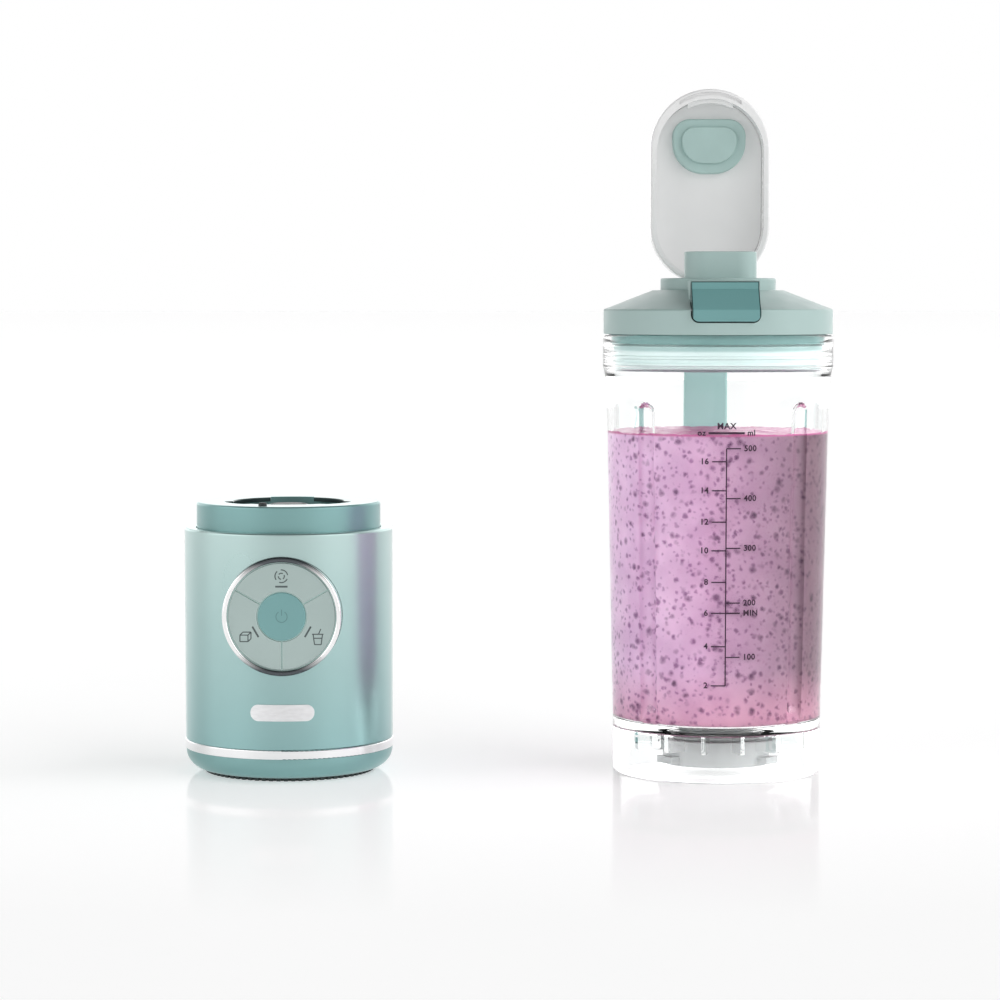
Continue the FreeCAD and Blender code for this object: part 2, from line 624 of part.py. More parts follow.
def flap():
    add_cup("flap_shell", flap_shell())
    add_cup("flap_panel", tray_space(0.15, 57.0, FLAP_BACK - 2.2))
    add_cup("flap_seal", flap_seal())


housing()
motor()
key_pad()
cup()
lid()
flap()

os.makedirs("parts", exist_ok=True)
for name, shape in nodes.items():
    shape.exportStep("parts/" + name + ".step")
    print(name, len(shape.Solids), shape.isValid(), round(shape.Volume, 1))
print(len(nodes), "nodes")
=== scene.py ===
"""A cordless blender in two halves: its finishes, the pieces that CAD lacks, and the studio."""
import math

import bpy
from mathutils import Matrix, Vector, noise


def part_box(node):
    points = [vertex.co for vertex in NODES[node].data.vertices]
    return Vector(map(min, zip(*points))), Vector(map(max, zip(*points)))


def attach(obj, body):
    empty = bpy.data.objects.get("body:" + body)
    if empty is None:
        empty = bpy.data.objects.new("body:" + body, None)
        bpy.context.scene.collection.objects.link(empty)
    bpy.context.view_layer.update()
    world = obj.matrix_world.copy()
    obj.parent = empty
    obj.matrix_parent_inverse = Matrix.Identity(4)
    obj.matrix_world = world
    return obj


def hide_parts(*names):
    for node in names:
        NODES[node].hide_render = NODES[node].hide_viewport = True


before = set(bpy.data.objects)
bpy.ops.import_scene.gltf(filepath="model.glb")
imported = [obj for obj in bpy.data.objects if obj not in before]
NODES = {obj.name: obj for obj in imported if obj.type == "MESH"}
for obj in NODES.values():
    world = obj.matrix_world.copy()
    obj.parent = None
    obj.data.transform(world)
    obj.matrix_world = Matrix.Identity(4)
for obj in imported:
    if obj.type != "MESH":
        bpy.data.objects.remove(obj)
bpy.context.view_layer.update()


# ---------------------------------------------------------------- places, from the frame

def low(node):
    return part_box(node)[0]


def high(node):
    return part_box(node)[1]


def middle(node):
    return (low(node) + high(node)) / 2


CUP_X = middle("locking_foot").x
RIM_Z = high("cup_body").z
RIM_R = (high("cup_body").x - low("cup_body").x) / 2
FLOOR_Z = low("floor_gasket").z          # the cup's floor, inside
DIAL_Z = middle("dial_bezel").z
KEY_FACE = low("blend_key").y
DRINK_TOP = RIM_Z - 0.0368
HAIR = 0.0003                            # a gap or an overlap too small to see


# ---------------------------------------------------------------- node trees

RANGE_SOCKETS = ("From Min", "From Max", "To Min", "To Max")


def map_range(tree, value, *limits):
    """The value, stretched from the first two limits to the last two and held between them."""
    node = tree.nodes.new("ShaderNodeMapRange")
    for key, number in zip(RANGE_SOCKETS, limits):
        node.inputs[key].default_value = number
    tree.links.new(value, node.inputs["Value"])
    return node.outputs["Result"]


def combine(tree, operation, a, b=0.0):
    """One sum. Each of a and b is a number or a socket."""
    node = tree.nodes.new("ShaderNodeMath")
    node.operation = operation
    for socket, value in zip(node.inputs, (a, b)):
        if isinstance(value, float):
            socket.default_value = value
        else:
            tree.links.new(value, socket)
    return node.outputs[0]


class Shade:
    """A material's node tree, with short calls for the nodes that are used often."""

    def __init__(self, name):
        self.mat = bpy.data.materials.new(name)
        self.mat.use_nodes = True
        self.tree = self.mat.node_tree
        self.bsdf = self.tree.nodes["Principled BSDF"]
        self.out = self.tree.nodes["Material Output"]
        self.where = self.add("ShaderNodeTexCoord").outputs["Object"]

    def add(self, kind, **values):
        node = self.tree.nodes.new(kind)
        for key, value in values.items():
            setattr(node, key, value)
        return node

    def link(self, a, b):
        self.tree.links.new(a, b)

    def stretch(self, scale):
        """Object coordinates scaled differently along each axis."""
        node = self.add("ShaderNodeMapping")
        node.inputs["Scale"].default_value = scale
        self.link(self.where, node.inputs["Vector"])
        return node.outputs["Vector"]

    def noise(self, scale, detail=3.0, vector=None, rough=0.5):
        node = self.add("ShaderNodeTexNoise")
        node.inputs["Scale"].default_value = scale
        node.inputs["Detail"].default_value = detail
        node.inputs["Roughness"].default_value = rough
        self.link(vector or self.where, node.inputs["Vector"])
        return node.outputs["Fac"]

    def axes(self):
        """Object coordinates as one output for each axis."""
        node = self.add("ShaderNodeSeparateXYZ")
        self.link(self.where, node.inputs[0])
        return node.outputs

    def fit(self, value, low_in, high_in, low_out, high_out):
        return map_range(self.tree, value, low_in, high_in, low_out, high_out)

    def vary(self, scale, detail, low_out, high_out):
        """Noise that wanders between two values."""
        return self.fit(self.noise(scale, detail), 0.3, 0.7, low_out, high_out)

    def blend(self, factor, a, b, mode="MIX"):
        node = self.add("ShaderNodeMix", data_type="RGBA", blend_type=mode)
        for socket, value in ((0, factor), (6, a), (7, b)):
            if isinstance(value, tuple):
                node.inputs[socket].default_value = (*value, 1)
            elif isinstance(value, (float, int)):
                node.inputs[socket].default_value = value
            else:
                self.link(value, node.inputs[socket])
        return node.outputs[2]

    def bump(self, height, strength, distance):
        node = self.add("ShaderNodeBump")
        node.inputs["Strength"].default_value = strength
        node.inputs["Distance"].default_value = distance
        self.link(height, node.inputs["Height"])
        self.link(node.outputs["Normal"], self.bsdf.inputs["Normal"])

    def edge_gloss(self, start, end, rough):
        """A white gloss that only shows along surfaces seen at a low angle."""
        weight = self.add("ShaderNodeLayerWeight")
        weight.inputs["Blend"].default_value = 0.5
        gloss = self.add("ShaderNodeBsdfGlossy")
        gloss.inputs["Color"].default_value = (0.80, 0.87, 0.86, 1)
        gloss.inputs["Roughness"].default_value = rough
        self.mix_in(self.fit(weight.outputs["Facing"], start, end, 0, 1), gloss)

    def mix_in(self, factor, shader):
        """Lets another shader take over from the main one by the factor."""
        mix = self.add("ShaderNodeMixShader")
        self.link(factor, mix.inputs[0])
        self.link(self.bsdf.outputs[0], mix.inputs[1])
        self.link(shader.outputs[0], mix.inputs[2])
        self.link(mix.outputs[0], self.out.inputs["Surface"])

    def color(self, socket):
        self.link(socket, self.bsdf.inputs["Base Color"])

    def rough(self, socket):
        self.link(socket, self.bsdf.inputs["Roughness"])

    def set(self, **values):
        for key, value in values.items():
            self.bsdf.inputs[key.replace("_", " ")].default_value = value
        return self


def tone(color, factor):
    return tuple(min(1.0, c * factor) for c in color)


def plastic(name, color, rough=0.38, grain=0.25, **values):
    """Moulded plastic: a fine spark-eroded grain, a slight mottle and uneven gloss."""
    s = Shade(name)
    mottle = s.vary(35, 4, 0, 1)
    s.color(s.blend(mottle, tone(color, 0.965), tone(color, 1.03)))
    s.rough(s.vary(160, 5, rough - 0.04, rough + 0.05))
    s.bump(s.noise(4200, 2), grain, 0.00002)
    s.set(**values)
    return s.mat


SLEEVE_FOOT = 0.012
SLEEVE_TOP = 0.094
WELL_R = 0.0245                          # the floor of the collar's well is inside this radius


def lacquer():
    """The sleeve's satin metallic lacquer under a thin clear coat, with painted light that makes it paler
    towards the top.
    """
    s = Shade("teal_lacquer_painted_light")
    # painted light: the colour runs from darker at the foot to paler at the top, standing in for how the
    # sleeve is lit
    up = s.fit(s.axes()["Z"], SLEEVE_FOOT, SLEEVE_TOP, 0, 1)
    body = s.blend(up, (0.290, 0.490, 0.490), (0.50, 0.655, 0.635))
    cloud = s.blend(s.vary(40, 3, 0, 1), (0.97, 0.97, 0.97), (1.0, 1.0, 1.0))
    body = s.blend(1.0, body, cloud, "MULTIPLY")
    s.color(body)
    s.edge_gloss(0.80, 0.97, 0.28)
    s.rough(s.vary(9, 2, 0.27, 0.29))
    s.bump(s.noise(9, 1), 0.05, 0.0005)
    s.set(Metallic=0.86, Coat_Weight=0.25, Coat_Roughness=0.15)
    return s.mat


def teal_plastic():
    """Satin teal plastic with a bright edge gloss, and painted shade on the floor of the well."""
    s = Shade("teal_plastic")
    body = s.blend(s.vary(35, 3, 0, 1), (0.230, 0.415, 0.410), (0.242, 0.432, 0.428))
    s.edge_gloss(0.84, 0.97, 0.3)
    flat = s.add("ShaderNodeVectorMath", operation="MULTIPLY")
    flat.inputs[1].default_value = (1, 1, 0)
    s.link(s.where, flat.inputs[0])
    reach = s.add("ShaderNodeVectorMath", operation="LENGTH")
    s.link(flat.outputs[0], reach.inputs[0])
    # painted shade: the floor of the well, inside WELL_R, is coloured nearly black where shade falls in the
    # recess
    well = s.fit(reach.outputs["Value"], WELL_R, WELL_R + 0.0002, 1, 0)
    s.color(s.blend(well, body, (0.035, 0.060, 0.060)))
    s.rough(s.vary(9, 2, 0.28, 0.32))
    s.bump(s.noise(9, 1), 0.05, 0.0005)
    s.set(Metallic=0.6)
    return s.mat


def latch_plastic():
    """The latch's teal, with a painted shade line along the gap at its sides and top."""
    s = Shade("latch_plastic")
    axes = s.axes()
    # painted shade: a thin dark line at the latch's left, right and top edges stands in for the shade in
    # the gap around it
    line = 0.0004
    left = low("latch_button").x
    inside = s.fit(axes["X"], left + line * 0.8, left + line, 0, 1)
    for name, edge in (("X", high("latch_button").x), ("Z", high("latch_button").z)):
        more = s.fit(axes[name], edge - line, edge - line * 0.8, 1, 0)
        inside = combine(s.tree, "MINIMUM", inside, more)
    body = s.blend(s.vary(35, 4, 0, 1), (0.160, 0.350, 0.350), (0.172, 0.370, 0.370))
    s.color(s.blend(inside, (0.020, 0.060, 0.060), body))
    s.rough(s.vary(160, 5, 0.30, 0.37))
    s.bump(s.noise(4200, 2), 0.2, 0.00002)
    return s.mat


def liner_plastic():
    """The lid's inner part: teal where it seals, paler on the skirt with the thread."""
    s = Shade("liner_plastic")
    pale = s.fit(s.axes()["Z"], RIM_Z - 0.0066, RIM_Z - 0.0056, 1, 0)
    mottle = s.vary(35, 4, 0, 1)
    teal = s.blend(mottle, (0.34, 0.50, 0.49), (0.37, 0.53, 0.52))
    s.color(s.blend(pale, teal, (0.66, 0.78, 0.77)))
    s.rough(s.vary(160, 5, 0.27, 0.35))
    s.bump(s.noise(4200, 2), 0.15, 0.00002)
    return s.mat


def chrome():
    """Bright chrome with a hint of wear in its gloss."""
    s = Shade("polished_chrome")
    s.color(s.blend(s.noise(60, 2), (0.86, 0.865, 0.87), (0.93, 0.93, 0.93)))
    s.rough(s.vary(300, 4, 0.06, 0.12))
    s.bump(s.noise(60, 2), 0.01, 0.00002)
    s.set(Metallic=1.0)
    return s.mat


def bezel_chrome():
    """The dial's bright chrome ring, with a painted reflection that makes it dark towards its top and
    bottom.
    """
    s = Shade("bezel_chrome")
    away = combine(s.tree, "ABSOLUTE", combine(s.tree, "SUBTRACT", s.axes()["Z"], DIAL_Z))
    radius = high("dial_bezel").z - DIAL_Z
    # painted reflection: the ring is coloured dark near its top and bottom, where it would mirror dark
    # surroundings
    dark = s.fit(away, radius * 0.62, radius * 0.90, 0, 1)
    s.color(s.blend(dark, (0.95, 0.95, 0.95), (0.10, 0.11, 0.12)))
    s.rough(s.vary(300, 4, 0.08, 0.14))
    s.bump(s.noise(60, 2), 0.01, 0.00002)
    s.set(Metallic=1.0)
    return s.mat


def steel(name, along=(60, 60, 4000), color=(0.60, 0.60, 0.61), rough=0.28):
    """Brushed steel, its scratches drawn out along two axes."""
    s = Shade(name)
    scratch = s.noise(1.0, 4, s.stretch(along))
    s.color(s.blend(scratch, tone(color, 0.85), tone(color, 1.12)))
    s.rough(s.fit(scratch, 0.3, 0.7, rough - 0.08, rough + 0.1))
    s.bump(scratch, 0.12, 0.00002)
    s.set(Metallic=1.0)
    return s.mat


def rubber(name, color, rough=0.62):
    """Matt moulded rubber or silicone."""
    s = Shade(name)
    s.color(s.blend(s.noise(90, 5), tone(color, 0.9), tone(color, 1.1)))
    s.rough(s.vary(400, 3, rough - 0.06, rough + 0.08))
    s.bump(s.noise(3000, 3), 0.25, 0.00003)
    s.set(Specular_IOR_Level=0.35)
    return s.mat


def clear(name, tint=(0.985, 0.995, 0.993), rough=0.02, shadow=0.93):
    """Clear plastic that lets the lamps through to what is behind it."""
    s = Shade(name)
    s.color(s.blend(s.noise(20, 2), tint, tone(tint, 1.01)))
    s.rough(s.vary(120, 3, rough * 0.6, rough * 1.4))
    s.bump(s.noise(30, 2), 0.02, 0.00006)
    s.set(Transmission_Weight=1.0, IOR=1.26)
    through = s.add("ShaderNodeBsdfTransparent")
    through.inputs["Color"].default_value = (shadow, shadow, shadow, 1)
    path = s.add("ShaderNodeLightPath")
    s.mix_in(path.outputs["Is Shadow Ray"], through)
    return s.mat


def ink():
    """Dark screen print, thin enough to take some of the drink's colour."""
    s = Shade("printed_ink")
    s.color(s.blend(s.noise(500, 3), (0.022, 0.006, 0.020), (0.045, 0.014, 0.040)))
    s.rough(s.vary(900, 2, 0.45, 0.6))
    return s.mat


def spots(s, scale, small, large, offset):
    """Soft ragged spots of many sizes: one in each cell, some too small to see."""
    fuzz = s.add("ShaderNodeTexNoise")
    fuzz.inputs["Scale"].default_value = scale * 1.7
    s.link(s.where, fuzz.inputs["Vector"])
    ragged = s.add("ShaderNodeMix", data_type="VECTOR")
    ragged.inputs[0].default_value = 0.0016
    s.link(s.where, ragged.inputs[4])
    s.link(fuzz.outputs["Color"], ragged.inputs[5])
    place = s.add("ShaderNodeMapping")
    place.inputs["Location"].default_value = (offset, offset * 0.7, offset * 1.3)
    s.link(ragged.outputs[1], place.inputs["Vector"])
    dots = s.add("ShaderNodeTexVoronoi")
    dots.inputs["Scale"].default_value = scale
    s.link(place.outputs["Vector"], dots.inputs["Vector"])
    pick = s.add("ShaderNodeSeparateColor")
    s.link(dots.outputs["Color"], pick.inputs[0])
    radius = s.fit(pick.outputs[0], 0.1, 1.0, small, large)
    inside = combine(s.tree, "SUBTRACT", radius, dots.outputs["Distance"])
    return s.fit(inside, -0.10, 0.16, 0, 0.85)


# Each size of berry skin: cells in a metre, smallest and largest radius in a cell, colour kept, offset.
SKINS = ((215, 0.10, 0.32, (0.25, 0.12, 0.26), 0.0),
         (310, 0.09, 0.36, (0.34, 0.18, 0.35), 3.1),
         (430, 0.06, 0.38, (0.47, 0.31, 0.49), 7.7))


def drink():
    """A thick berry drink with dark skins in it, warm at the foot; painted light makes it lilac at the
    left, painted shade makes it plum at the right and darker on top.
    """
    s = Shade("berry_drink")
    axes = s.axes()
    # painted light and shade: pale at the left and dark at the right, standing in for how the drink is lit
    # through the cup
    left = s.fit(axes["X"], CUP_X - 0.040, CUP_X - 0.004, 0, 1)
    right = s.fit(axes["X"], CUP_X - 0.008, CUP_X + 0.033, 0, 1)
    body = s.blend(left, (0.84, 0.59, 0.81), (0.645, 0.385, 0.575))
    body = s.blend(right, body, (0.19, 0.108, 0.145))
    warm = s.fit(axes["Z"], FLOOR_Z, FLOOR_Z + 0.022, 0.75, 0)
    body = s.blend(warm, body, (0.70, 0.34, 0.46))
    cloud = s.fit(s.noise(70, 6), 0.38, 0.66, 0, 1)
    body = s.blend(cloud, s.blend(1.0, body, (0.84, 0.78, 0.84), "MULTIPLY"), body)
    for scale, small, large, kept, offset in SKINS:
        body = s.blend(spots(s, scale, small, large, offset), body, s.blend(1.0, body, kept, "MULTIPLY"))
    # painted shade: the top of the drink and a thin band below it are coloured darker, standing in for the
    # weak light on the upward face
    top = s.fit(axes["Z"], DRINK_TOP - 0.0010, DRINK_TOP - 0.0004, 0, 1)
    body = s.blend(top, body, (0.52, 0.12, 0.30))
    s.color(body)
    s.rough(s.vary(300, 3, 0.30, 0.42))
    s.bump(s.noise(420, 4), 0.25, 0.0003)
    s.set(Subsurface_Weight=0.25, Subsurface_Scale=0.002, Subsurface_Radius=(1.0, 0.5, 0.7))
    return s.mat


def floor_finish():
    """A pale table. Its polish, which mirrors the things on it faintly, fades out towards the front."""
    s = Shade("pale_table")
    s.color(s.blend(s.noise(3, 2), (0.90, 0.90, 0.90), (0.92, 0.92, 0.92)))
    s.set(Roughness=0.9, Specular_IOR_Level=0.0, Emission_Color=(1, 1, 1, 1), Emission_Strength=0.475)
    polish = s.add("ShaderNodeBsdfGlossy")
    s.link(s.vary(6, 2, 0.05, 0.08), polish.inputs["Roughness"])
    s.mix_in(s.fit(s.axes()["Y"], -0.28, -0.05, 0.0, 0.18), polish)
    return s.mat


LACQUER = lacquer()
CHROME = chrome()
BEZEL = bezel_chrome()
TEAL = teal_plastic()
SAGE = plastic("sage_plastic", (0.410, 0.545, 0.525), 0.36)
LATCH = latch_plastic()
LINER = liner_plastic()
HANDLE = plastic("handle_plastic", (0.48, 0.76, 0.72), 0.38)
KEYS = plastic("key_plastic", (0.420, 0.520, 0.500), 0.40, 0.15)
BUTTON = plastic("button_plastic", (0.190, 0.385, 0.385), 0.36, 0.15)
# The carrier glows a little, a painted light that keeps the shaded gaps between the keys faint.
GLOWING_CARRIER = plastic("carrier_plastic_glow", (0.62, 0.72, 0.70), 0.5,
                  Emission_Color=(0.34, 0.44, 0.42, 1), Emission_Strength=0.7)
LIGHT = plastic("light_lens", (0.085, 0.110, 0.110), 0.30, 0.05)
FAINT = plastic("faint_mark", (0.115, 0.250, 0.250), 0.35, 0.05)
DARK = plastic("dark_plastic", (0.030, 0.034, 0.035), 0.45)
GREY = plastic("housing_plastic", (0.45, 0.47, 0.47), 0.40)
SLATE = plastic("nut_plastic", (0.36, 0.38, 0.38), 0.42)
WHITE = plastic("white_plastic", (0.88, 0.88, 0.88), 0.25, 0.1, Coat_Weight=0.3, Coat_Roughness=0.1)
# The panel glows a little, a painted light that lifts the shade which the flap's rim casts on it.
GLOWING_PANEL = plastic("panel_plastic_glow", (0.74, 0.74, 0.74), 0.42, 0.2,
                Emission_Color=(1, 1, 1, 1), Emission_Strength=0.12)
BOARD = plastic("board_mask", (0.02, 0.14, 0.07), 0.35)
SLEEVE = plastic("cell_wrap", (0.04, 0.12, 0.30), 0.25)
SEAL = rubber("seal_silicone", (0.44, 0.60, 0.575), 0.5)
GASKET = rubber("gasket_silicone", (0.17, 0.32, 0.31), 0.5)
RUBBER = rubber("grey_rubber", (0.045, 0.055, 0.055))
STEEL = steel("brushed_steel")
BLADE = steel("blade_steel", (3000, 60, 60), (0.66, 0.66, 0.67), 0.2)
COPPER = steel("copper_wire", (200, 200, 6000), (0.75, 0.34, 0.16), 0.3)
MAGNET = steel("magnet", (300, 300, 300), (0.10, 0.10, 0.11), 0.5)
SOFT_GREY = rubber("soft_grey_rubber", (0.36, 0.38, 0.38))
SATIN = steel("satin_metal", (300, 300, 900), (0.86, 0.86, 0.87), 0.36)
CLEAR = clear("clear_plastic")
INK = ink()
DRINK = drink()

FINISHES = (
    (LACQUER, "outer_sleeve"),
    (TEAL, "locking_collar foot_cap"),
    (CHROME, "chrome_band"),
    (BEZEL, "dial_bezel"),
    (SATIN, "badge"),
    (GLOWING_CARRIER, "dial_carrier"),
    (KEYS, "blend_key smoothie_key crush_key"),
    (BUTTON, "power_button"),
    (LIGHT, "blend_light smoothie_light crush_light"),
    (RUBBER, "foot_pad port_gasket shaft_seal key_mat blade_seal"),
    (BOARD, "main_board control_board"),
    (SLEEVE, "battery_cells"),
    (DARK, "battery_cradle motor_mount motor_end_bell drive_coupling interlock_plunger driven_coupling"),
    (MAGNET, "motor_magnets brushes"),
    (COPPER, "rotor_winding commutator"),
    (STEEL, "base_screws charge_port motor_can motor_bearings motor_shaft rotor_core"),
    (STEEL, "blade_bearings blade_shaft blade_nut latch_pin latch_spring flap_pin"),
    (BLADE, "lower_blade upper_blade"),
    (CLEAR, "cup_body"),
    (GREY, "blade_base locking_foot"),
    (SLATE, "retaining_nut"),
    (SOFT_GREY, "floor_gasket"),
    (GASKET, "lid_gasket"),
    (SAGE, "lid_shell"),
    (LINER, "lid_liner"),
    (HANDLE, "carry_handle"),
    (LATCH, "latch_button"),
    (WHITE, "flap_shell"),
    (GLOWING_PANEL, "flap_panel"),
    (SEAL, "flap_seal"),
)


def finish_nodes():
    """Gives every node of the frame its finish."""
    for finish, names in FINISHES:
        for name in names.split():
            materials = NODES[name].data.materials
            materials.clear()
            materials.append(finish)


# ---------------------------------------------------------------- meshes

def rounded(points, steps=5):
    """A path of (u, v, corner radius) points as plain points, its corners turned into arcs."""
    path = []
    count = len(points)
    for i, (u, v, radius) in enumerate(points):
        here = Vector((u, v))
        if not radius:
            path.append(here)
            continue
        before = (Vector(points[i - 1][:2]) - here).normalized()
        after = (Vector(points[(i + 1) % count][:2]) - here).normalized()
        half = before.angle(after) / 2
        centre = here + (before + after).normalized() * radius / math.sin(half)
        start = here + before * radius / math.tan(half) - centre
        end = here + after * radius / math.tan(half) - centre
        turn = start.angle_signed(end)
        for k in range(steps + 1):
            angle = -turn * k / steps
            path.append(centre + Matrix.Rotation(angle, 2) @ start)
    return path


def make(name, verts, faces, body, mat, smooth=None):
    """A mesh piece. Edges sharper than the smooth angle stay sharp."""
    mesh = bpy.data.meshes.new(name)
    mesh.from_pydata([tuple(v) for v in verts], [], faces)
    mesh.update()
    mesh.materials.append(mat)
    piece = bpy.data.objects.new(name, mesh)
    bpy.context.scene.collection.objects.link(piece)
    if smooth is not None:
        mesh.shade_smooth()
        mesh.set_sharp_from_angle(angle=math.radians(smooth))
    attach(piece, body)
    return piece


def ring_faces(rows, columns, closed_rows=False):
    """Quads of a grid whose columns go round, and whose rows may too."""
    faces = []
    for i in range(rows if closed_rows else rows - 1):
        for j in range(columns):
            a, b = i * columns, ((i + 1) % rows) * columns
            k = (j + 1) % columns
            faces.append((a + j, a + k, b + k, b + j))
    return faces


# ---------------------------------------------------------------- cup

RIB_ANGLES = (45, 135, 225, 315)
RIB_TOP = RIM_Z - 0.0252
RIB_HALF = 0.0038                        # half a rib's width
RIB_RISE = 0.0026                        # how far a rib stands in from the wall
RIB_FADE = 0.006                         # over this height a rib grows out of the floor's corner
SKIRT_TOP = 0.0335                       # the skirt ends here, and a step of 0.15 mm starts the wall
SKIRT_STEP = 0.00015
WALL_FOOT = 0.034
WALL_TOP = 0.140
BORE_TOP = 0.1525
WALL_LOW = 0.0403                        # the outer wall's radius at its foot and at its top
WALL_HIGH = 0.0426
INNER_LOW = 0.0380                       # the bore's radius at the floor and at its top
INNER_HIGH = 0.0407
MOUTH_R = 0.0416                         # the bore's radius inside the rim, between the thread's ridges
RIDGE_R = 0.0414
SKIRT_BORE = 0.0373
HUB_R = 0.0147                           # the hole in the floor for the blade's base
FLOOR_UNDER = 0.0178                     # the floor's underside


def cup_angles():
    """Angles round the cup, in finer steps across each rib."""
    angles = []
    for quarter in range(4):
        start = quarter * 90
        angles += [start + i * 3 for i in range(13)]
        angles += [start + 39 + i * 0.6 for i in range(21)]
        angles += [start + 54 + i * 3 for i in range(12)]
    return [math.radians(a) for a in angles]


def rib_rise(angle, r, z):
    """How far the wall stands in at a rib, which is round across and at its top."""
    rise = 0.0
    for rib in RIB_ANGLES:
        across = (angle - math.radians(rib)) * r
        along = max(0.0, z - (RIB_TOP - RIB_HALF))
        distance = math.hypot(across, along) / RIB_HALF
        if distance < 1:
            rise = max(rise, RIB_RISE * math.sqrt(1 - distance * distance))
    return rise * min(1.0, (z - FLOOR_Z) / RIB_FADE)


def thread_outline():
    """The ridges inside the rim: a broad gap, then four close together."""
    path = []
    for z in (0.1650, 0.1614, 0.1596, 0.1578, 0.1560):
        path += [(MOUTH_R, z + 0.0006, 0), (RIDGE_R, z + 0.0001, 0.0002),
                 (RIDGE_R, z - 0.0001, 0.0002), (MOUTH_R, z - 0.0006, 0)]
    return path


def bore_outline():
    """The tapering bore in short steps, finest where the ribs end."""
    heights = [BORE_TOP - i * 0.0021 for i in range(1, 4)]
    heights += [RIB_TOP + 0.0006 - i * 0.0004 for i in range(15)]
    heights += [RIB_TOP - 0.0056 - i * 0.0021 for i in range(1, 52)]
    taper = INNER_LOW - INNER_HIGH
    return [(INNER_HIGH + taper * (BORE_TOP - z) / (BORE_TOP - FLOOR_Z), z, 0) for z in heights]


def cup_outline():
    """The cup's section as points of radius, height and corner radius."""
    outside = [(SKIRT_BORE, 0, 0.0006), (0.0399, 0, 0.0008), (WALL_LOW, SKIRT_TOP, 0),
               (WALL_LOW + SKIRT_STEP, WALL_FOOT, 0), (WALL_HIGH, WALL_TOP, 0.02), (0.0433, 0.152, 0.003),
               (RIM_R, 0.156, 0.002), (RIM_R, RIM_Z, 0.0008), (MOUTH_R, RIM_Z, 0.0008)]
    shoulder = [(MOUTH_R, 0.1545, 0.0004), (INNER_HIGH, BORE_TOP, 0.001)]
    under = [(INNER_LOW, FLOOR_Z, 0.003), (HUB_R, FLOOR_Z, 0.0003), (HUB_R, FLOOR_UNDER, 0.0003),
             (SKIRT_BORE, FLOOR_UNDER, 0.001)]
    return outside + thread_outline() + shoulder + bore_outline() + under


def is_bore(r, z):
    """Whether a point of the section is on the part of the inside that has ribs."""
    outside = WALL_LOW + (WALL_HIGH - WALL_LOW) * (z - SKIRT_TOP) / (WALL_TOP - SKIRT_TOP)
    return FLOOR_Z + 0.0005 < z < 0.150 and 0.030 < r < min(INNER_HIGH + 0.0002, outside - 0.0008)


def clear_cup():
    angles = cup_angles()
    verts = []
    path = rounded(cup_outline())
    for p in path:
        ribbed = is_bore(p.x, p.y)
        for a in angles:
            r = p.x - (rib_rise(a, p.x, p.y) if ribbed else 0.0)
            verts.append((CUP_X + r * math.cos(a), r * math.sin(a), p.y))
    faces = ring_faces(len(path), len(angles), closed_rows=True)
    cup = make("clear_cup", verts, faces, "cup", CLEAR, 40)
    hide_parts("cup_body")


def cup_fins():
    """Clear radial fins under the floor, a hair off the wall that they are moulded to."""
    verts = []
    faces = []
    half = 0.0008
    near, far = 0.025, SKIRT_BORE - 0.0001
    foot, top = 0.0106, FLOOR_UNDER - 0.0001
    section = rounded([(near, foot, half), (far, foot, half), (far, top, 0), (near, top, half)], 3)
    count = len(section)
    for i in range(16):
        turn = math.radians(22.5 * i + 11.25)
        base = len(verts)
        for side in (-half, half):
            for p in section:
                verts.append((CUP_X + p.x * math.cos(turn) - side * math.sin(turn),
                              p.x * math.sin(turn) + side * math.cos(turn), p.y))
        faces.append([base + k for k in range(count)][::-1])
        faces.append([base + count + k for k in range(count)])
        faces += [(base + k, base + (k + 1) % count, base + count + (k + 1) % count, base + count + k)
                  for k in range(count)]
    fins = make("cup_fins", verts, faces, "cup", CLEAR, 30)


def drink_rows():
    """The drink's section from the hub along the floor, up the wall and in over the top."""
    wet = 0.0004
    corner = 0.003
    foot = FLOOR_Z + HAIR
    rows = [(r, foot) for r in (0.0188, 0.026, 0.032)]
    rows += [(INNER_LOW - corner + (corner + wet) * math.sin(t),
              FLOOR_Z + corner - (corner - HAIR) * math.cos(t)) for t in (0.3, 0.6, 0.9, 1.2)]
    for i in range(55):
        z = foot + (DRINK_TOP - foot) * i / 54
        up = (z - FLOOR_Z) / (BORE_TOP - FLOOR_Z)
        if z > FLOOR_Z + corner:
            rows.append((INNER_LOW + (INNER_HIGH - INNER_LOW) * up + wet, z))
    return rows + [(0.0396 - 0.0016 * i, DRINK_TOP) for i in range(1, 24)]


def ripple(x, y):
    """The uneven top of the drink."""
    broad = noise.noise(Vector((x, y, 0.3)) * 190)
    fine = noise.noise(Vector((x, y, 0.7)) * 600)
    return 0.0007 * broad + 0.0003 * fine


def berry_drink():
    """The drink fills the cup to the line, wetting the wall, so it reaches a hair into it."""
    angles = cup_angles()
    columns = len(angles)
    rows = drink_rows()
    verts = []
    for r, z in rows:
        beside_wall = r > 0.0375 and z > FLOOR_Z + 0.003
        for a in angles:
            inset = rib_rise(a, r, z) if beside_wall else 0.0
            x = (r - inset) * math.cos(a)
            y = (r - inset) * math.sin(a)
            lift = ripple(x, y) if z > DRINK_TOP - 0.0001 else 0.0
            verts.append((CUP_X + x, y, z + lift))
    faces = ring_faces(len(rows), columns)
    verts.append((CUP_X, 0, DRINK_TOP))
    top = (len(rows) - 1) * columns
    faces += [(top + j, top + (j + 1) % columns, len(verts) - 1) for j in range(columns)]
    verts.append((CUP_X, 0, FLOOR_Z + HAIR))
    faces += [((j + 1) % columns, j, len(verts) - 1) for j in range(columns)]
    piece = make("berry_drink", verts, faces, "cup", DRINK, 50)


# ---------------------------------------------------------------- print on the cup

